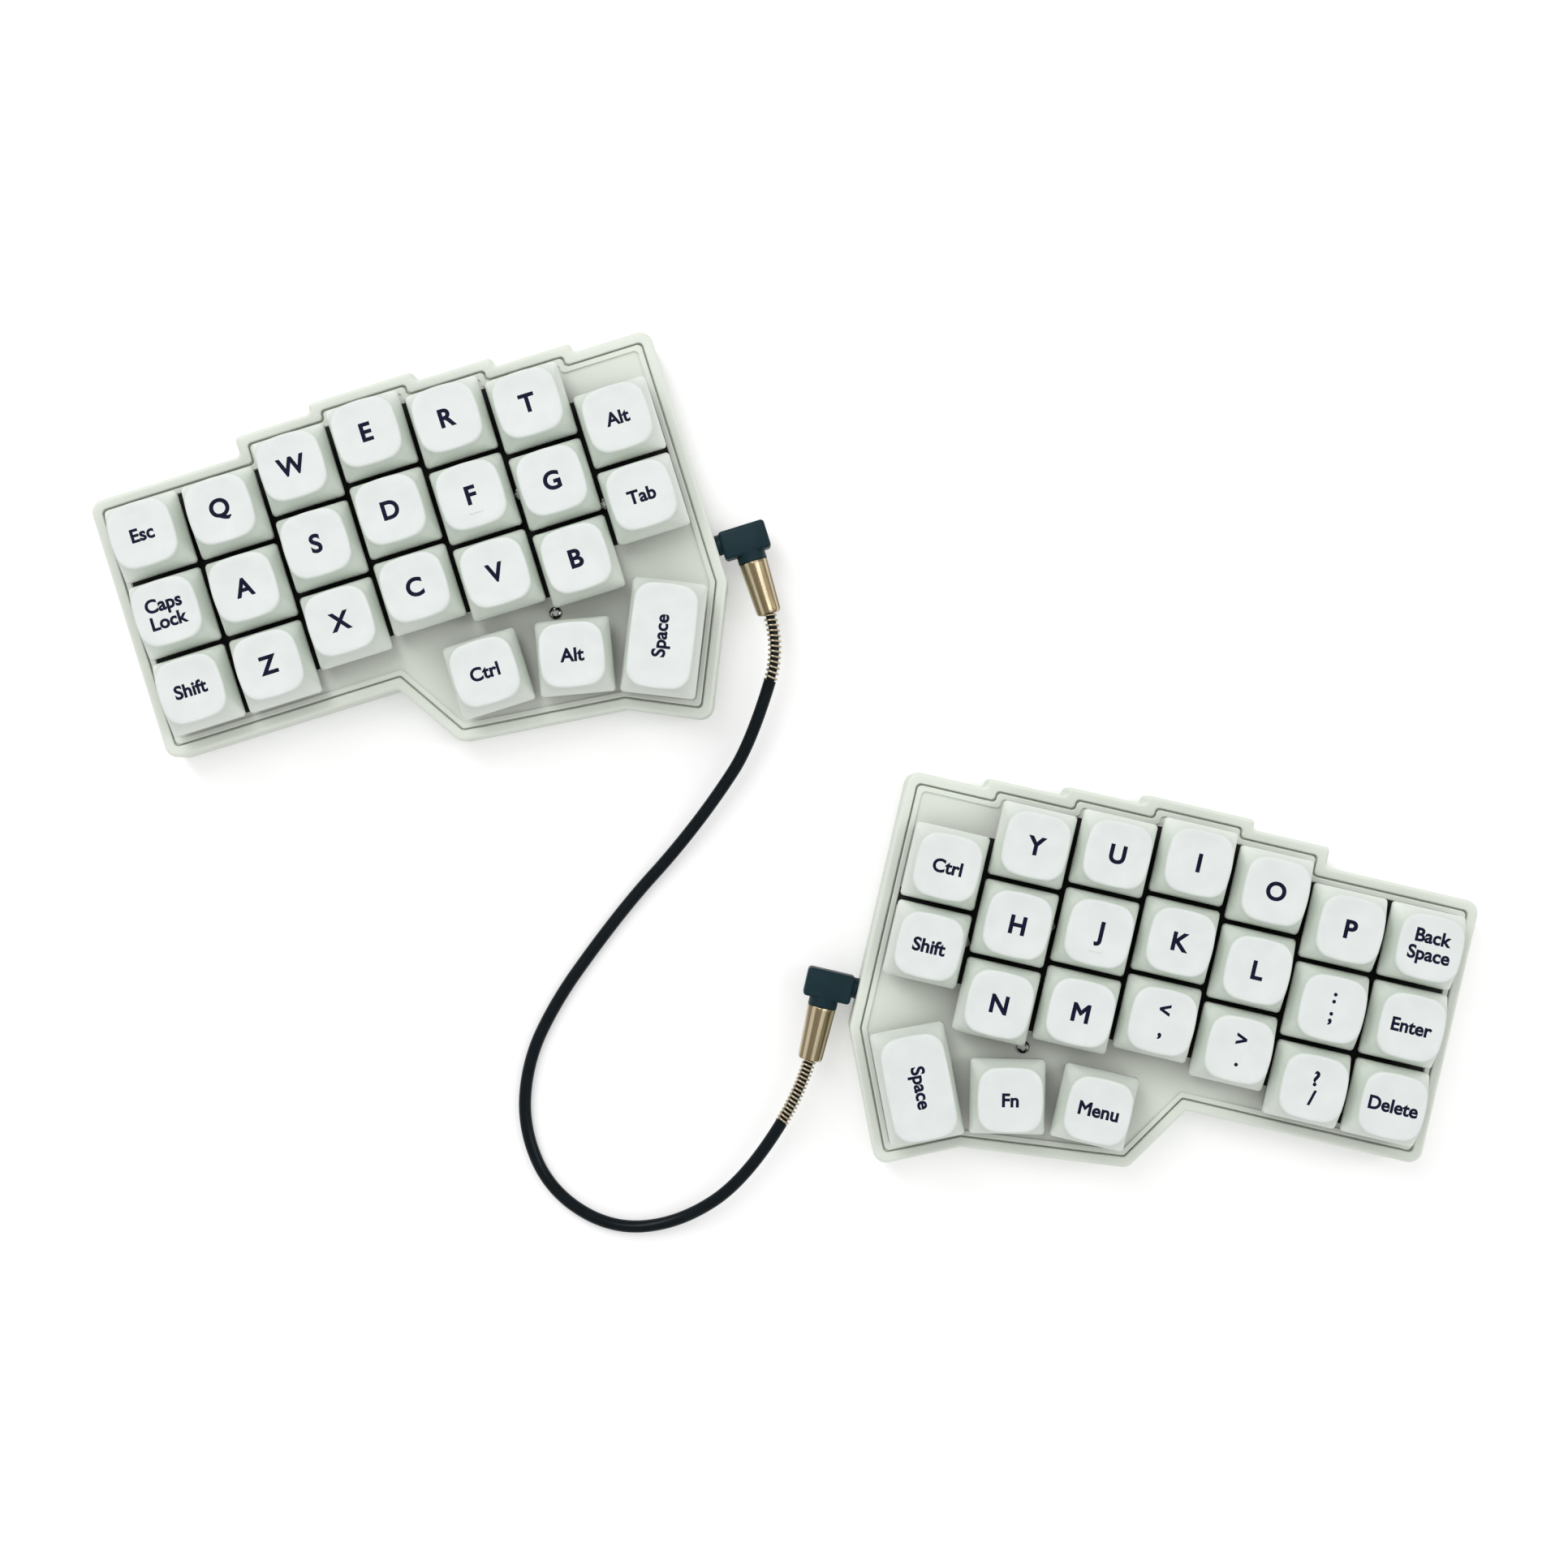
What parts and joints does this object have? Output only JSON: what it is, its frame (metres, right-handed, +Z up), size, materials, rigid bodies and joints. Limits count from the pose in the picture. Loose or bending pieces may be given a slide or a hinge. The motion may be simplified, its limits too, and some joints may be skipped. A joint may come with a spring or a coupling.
{
  "type": "split keyboard",
  "caption": "Ergonomic split keyboard: low column-staggered halves with mechanical keys and thumb keys, joined by a short patch cord.",
  "frame": {"origin": "on the desk, under the middle of the box round both halves without the cord and its plugs", "axes": "+X towards the right half, +Y away from the typist, +Z up"},
  "size_m": [0.3325, 0.2182, 0.0287],
  "materials": {
    "sage_shell": "satin",
    "cap_plastic": "satin, white top over a sage skirt",
    "board": "solder mask",
    "housing_plastic": "matt",
    "spring_steel": "bright",
    "socket_steel": "satin",
    "screw_steel": "polished",
    "foot_rubber": "matt",
    "cord_jacket": "smooth",
    "plug_plastic": "moulded",
    "champagne_metal": "polished"
  },
  "bodies": {
    "base": {"angled_plugs": "plug_plastic", "case_screws": "screw_steel", "circuit_boards": "board", "left_case": "sage_shell", "left_top_shell": "sage_shell", "patch_cord": "cord_jacket", "plug_sleeves": "champagne_metal", "port_sockets": "socket_steel", "right_case": "sage_shell", "right_top_shell": "sage_shell", "rubber_feet": "foot_rubber", "strain_springs": "champagne_metal", "switch_housings": "housing_plastic", "switch_springs": "spring_steel"},
    "a_key": {"a_key": "cap_plastic"},
    "b_key": {"b_key": "cap_plastic"},
    "back_space_key": {"back_space_key": "cap_plastic"},
    "c_key": {"c_key": "cap_plastic"},
    "caps_lock_key": {"caps_lock_key": "cap_plastic"},
    "comma_key": {"comma_key": "cap_plastic"},
    "d_key": {"d_key": "cap_plastic"},
    "delete_key": {"delete_key": "cap_plastic"},
    "e_key": {"e_key": "cap_plastic"},
    "enter_key": {"enter_key": "cap_plastic"},
    "esc_key": {"esc_key": "cap_plastic"},
    "f_key": {"f_key": "cap_plastic"},
    "g_key": {"g_key": "cap_plastic"},
    "h_key": {"h_key": "cap_plastic"},
    "i_key": {"i_key": "cap_plastic"},
    "j_key": {"j_key": "cap_plastic"},
    "k_key": {"k_key": "cap_plastic"},
    "l_key": {"l_key": "cap_plastic"},
    "left_alt_key": {"left_alt_key": "cap_plastic"},
    "left_shift_key": {"left_shift_key": "cap_plastic"},
    "left_space_key": {"left_space_key": "cap_plastic"},
    "m_key": {"m_key": "cap_plastic"},
    "n_key": {"n_key": "cap_plastic"},
    "o_key": {"o_key": "cap_plastic"},
    "p_key": {"p_key": "cap_plastic"},
    "period_key": {"period_key": "cap_plastic"},
    "q_key": {"q_key": "cap_plastic"},
    "r_key": {"r_key": "cap_plastic"},
    "right_ctrl_key": {"right_ctrl_key": "cap_plastic"},
    "right_shift_key": {"right_shift_key": "cap_plastic"},
    "right_space_key": {"right_space_key": "cap_plastic"},
    "s_key": {"s_key": "cap_plastic"},
    "semicolon_key": {"semicolon_key": "cap_plastic"},
    "slash_key": {"slash_key": "cap_plastic"},
    "t_key": {"t_key": "cap_plastic"},
    "tab_key": {"tab_key": "cap_plastic"},
    "thumb_alt_key": {"thumb_alt_key": "cap_plastic"},
    "thumb_ctrl_key": {"thumb_ctrl_key": "cap_plastic"},
    "thumb_fn_key": {"thumb_fn_key": "cap_plastic"},
    "thumb_menu_key": {"thumb_menu_key": "cap_plastic"},
    "u_key": {"u_key": "cap_plastic"},
    "v_key": {"v_key": "cap_plastic"},
    "w_key": {"w_key": "cap_plastic"},
    "x_key": {"x_key": "cap_plastic"},
    "y_key": {"y_key": "cap_plastic"},
    "z_key": {"z_key": "cap_plastic"}
  },
  "joints": [
    {"name": "a_press", "type": "slide", "parent": "base", "child": "a_key", "axis": [0, 0, -1], "range_m": [0, 0.004], "stiffness_N_per_m": 80, "springref_m": -0.004},
    {"name": "b_press", "type": "slide", "parent": "base", "child": "b_key", "axis": [0, 0, -1], "range_m": [0, 0.004], "stiffness_N_per_m": 80, "springref_m": -0.004},
    {"name": "back_space_press", "type": "slide", "parent": "base", "child": "back_space_key", "axis": [0, 0, -1], "range_m": [0, 0.004], "stiffness_N_per_m": 80, "springref_m": -0.004},
    {"name": "c_press", "type": "slide", "parent": "base", "child": "c_key", "axis": [0, 0, -1], "range_m": [0, 0.004], "stiffness_N_per_m": 80, "springref_m": -0.004},
    {"name": "caps_lock_press", "type": "slide", "parent": "base", "child": "caps_lock_key", "axis": [0, 0, -1], "range_m": [0, 0.004], "stiffness_N_per_m": 80, "springref_m": -0.004},
    {"name": "comma_press", "type": "slide", "parent": "base", "child": "comma_key", "axis": [0, 0, -1], "range_m": [0, 0.004], "stiffness_N_per_m": 80, "springref_m": -0.004},
    {"name": "d_press", "type": "slide", "parent": "base", "child": "d_key", "axis": [0, 0, -1], "range_m": [0, 0.004], "stiffness_N_per_m": 80, "springref_m": -0.004},
    {"name": "delete_press", "type": "slide", "parent": "base", "child": "delete_key", "axis": [0, 0, -1], "range_m": [0, 0.004], "stiffness_N_per_m": 80, "springref_m": -0.004},
    {"name": "e_press", "type": "slide", "parent": "base", "child": "e_key", "axis": [0, 0, -1], "range_m": [0, 0.004], "stiffness_N_per_m": 80, "springref_m": -0.004},
    {"name": "enter_press", "type": "slide", "parent": "base", "child": "enter_key", "axis": [0, 0, -1], "range_m": [0, 0.004], "stiffness_N_per_m": 80, "springref_m": -0.004},
    {"name": "esc_press", "type": "slide", "parent": "base", "child": "esc_key", "axis": [0, 0, -1], "range_m": [0, 0.004], "stiffness_N_per_m": 80, "springref_m": -0.004},
    {"name": "f_press", "type": "slide", "parent": "base", "child": "f_key", "axis": [0, 0, -1], "range_m": [0, 0.004], "stiffness_N_per_m": 80, "springref_m": -0.004},
    {"name": "g_press", "type": "slide", "parent": "base", "child": "g_key", "axis": [0, 0, -1], "range_m": [0, 0.004], "stiffness_N_per_m": 80, "springref_m": -0.004},
    {"name": "h_press", "type": "slide", "parent": "base", "child": "h_key", "axis": [0, 0, -1], "range_m": [0, 0.004], "stiffness_N_per_m": 80, "springref_m": -0.004},
    {"name": "i_press", "type": "slide", "parent": "base", "child": "i_key", "axis": [0, 0, -1], "range_m": [0, 0.004], "stiffness_N_per_m": 80, "springref_m": -0.004},
    {"name": "j_press", "type": "slide", "parent": "base", "child": "j_key", "axis": [0, 0, -1], "range_m": [0, 0.004], "stiffness_N_per_m": 80, "springref_m": -0.004},
    {"name": "k_press", "type": "slide", "parent": "base", "child": "k_key", "axis": [0, 0, -1], "range_m": [0, 0.004], "stiffness_N_per_m": 80, "springref_m": -0.004},
    {"name": "l_press", "type": "slide", "parent": "base", "child": "l_key", "axis": [0, 0, -1], "range_m": [0, 0.004], "stiffness_N_per_m": 80, "springref_m": -0.004},
    {"name": "left_alt_press", "type": "slide", "parent": "base", "child": "left_alt_key", "axis": [0, 0, -1], "range_m": [0, 0.004], "stiffness_N_per_m": 80, "springref_m": -0.004},
    {"name": "left_shift_press", "type": "slide", "parent": "base", "child": "left_shift_key", "axis": [0, 0, -1], "range_m": [0, 0.004], "stiffness_N_per_m": 80, "springref_m": -0.004},
    {"name": "left_space_press", "type": "slide", "parent": "base", "child": "left_space_key", "axis": [0, 0, -1], "range_m": [0, 0.004], "stiffness_N_per_m": 80, "springref_m": -0.004},
    {"name": "m_press", "type": "slide", "parent": "base", "child": "m_key", "axis": [0, 0, -1], "range_m": [0, 0.004], "stiffness_N_per_m": 80, "springref_m": -0.004},
    {"name": "n_press", "type": "slide", "parent": "base", "child": "n_key", "axis": [0, 0, -1], "range_m": [0, 0.004], "stiffness_N_per_m": 80, "springref_m": -0.004},
    {"name": "o_press", "type": "slide", "parent": "base", "child": "o_key", "axis": [0, 0, -1], "range_m": [0, 0.004], "stiffness_N_per_m": 80, "springref_m": -0.004},
    {"name": "p_press", "type": "slide", "parent": "base", "child": "p_key", "axis": [0, 0, -1], "range_m": [0, 0.004], "stiffness_N_per_m": 80, "springref_m": -0.004},
    {"name": "period_press", "type": "slide", "parent": "base", "child": "period_key", "axis": [0, 0, -1], "range_m": [0, 0.004], "stiffness_N_per_m": 80, "springref_m": -0.004},
    {"name": "q_press", "type": "slide", "parent": "base", "child": "q_key", "axis": [0, 0, -1], "range_m": [0, 0.004], "stiffness_N_per_m": 80, "springref_m": -0.004},
    {"name": "r_press", "type": "slide", "parent": "base", "child": "r_key", "axis": [0, 0, -1], "range_m": [0, 0.004], "stiffness_N_per_m": 80, "springref_m": -0.004},
    {"name": "right_ctrl_press", "type": "slide", "parent": "base", "child": "right_ctrl_key", "axis": [0, 0, -1], "range_m": [0, 0.004], "stiffness_N_per_m": 80, "springref_m": -0.004},
    {"name": "right_shift_press", "type": "slide", "parent": "base", "child": "right_shift_key", "axis": [0, 0, -1], "range_m": [0, 0.004], "stiffness_N_per_m": 80, "springref_m": -0.004},
    {"name": "right_space_press", "type": "slide", "parent": "base", "child": "right_space_key", "axis": [0, 0, -1], "range_m": [0, 0.004], "stiffness_N_per_m": 80, "springref_m": -0.004},
    {"name": "s_press", "type": "slide", "parent": "base", "child": "s_key", "axis": [0, 0, -1], "range_m": [0, 0.004], "stiffness_N_per_m": 80, "springref_m": -0.004},
    {"name": "semicolon_press", "type": "slide", "parent": "base", "child": "semicolon_key", "axis": [0, 0, -1], "range_m": [0, 0.004], "stiffness_N_per_m": 80, "springref_m": -0.004},
    {"name": "slash_press", "type": "slide", "parent": "base", "child": "slash_key", "axis": [0, 0, -1], "range_m": [0, 0.004], "stiffness_N_per_m": 80, "springref_m": -0.004},
    {"name": "t_press", "type": "slide", "parent": "base", "child": "t_key", "axis": [0, 0, -1], "range_m": [0, 0.004], "stiffness_N_per_m": 80, "springref_m": -0.004},
    {"name": "tab_press", "type": "slide", "parent": "base", "child": "tab_key", "axis": [0, 0, -1], "range_m": [0, 0.004], "stiffness_N_per_m": 80, "springref_m": -0.004},
    {"name": "thumb_alt_press", "type": "slide", "parent": "base", "child": "thumb_alt_key", "axis": [0, 0, -1], "range_m": [0, 0.004], "stiffness_N_per_m": 80, "springref_m": -0.004},
    {"name": "thumb_ctrl_press", "type": "slide", "parent": "base", "child": "thumb_ctrl_key", "axis": [0, 0, -1], "range_m": [0, 0.004], "stiffness_N_per_m": 80, "springref_m": -0.004},
    {"name": "thumb_fn_press", "type": "slide", "parent": "base", "child": "thumb_fn_key", "axis": [0, 0, -1], "range_m": [0, 0.004], "stiffness_N_per_m": 80, "springref_m": -0.004},
    {"name": "thumb_menu_press", "type": "slide", "parent": "base", "child": "thumb_menu_key", "axis": [0, 0, -1], "range_m": [0, 0.004], "stiffness_N_per_m": 80, "springref_m": -0.004},
    {"name": "u_press", "type": "slide", "parent": "base", "child": "u_key", "axis": [0, 0, -1], "range_m": [0, 0.004], "stiffness_N_per_m": 80, "springref_m": -0.004},
    {"name": "v_press", "type": "slide", "parent": "base", "child": "v_key", "axis": [0, 0, -1], "range_m": [0, 0.004], "stiffness_N_per_m": 80, "springref_m": -0.004},
    {"name": "w_press", "type": "slide", "parent": "base", "child": "w_key", "axis": [0, 0, -1], "range_m": [0, 0.004], "stiffness_N_per_m": 80, "springref_m": -0.004},
    {"name": "x_press", "type": "slide", "parent": "base", "child": "x_key", "axis": [0, 0, -1], "range_m": [0, 0.004], "stiffness_N_per_m": 80, "springref_m": -0.004},
    {"name": "y_press", "type": "slide", "parent": "base", "child": "y_key", "axis": [0, 0, -1], "range_m": [0, 0.004], "stiffness_N_per_m": 80, "springref_m": -0.004},
    {"name": "z_press", "type": "slide", "parent": "base", "child": "z_key", "axis": [0, 0, -1], "range_m": [0, 0.004], "stiffness_N_per_m": 80, "springref_m": -0.004}
  ]
}
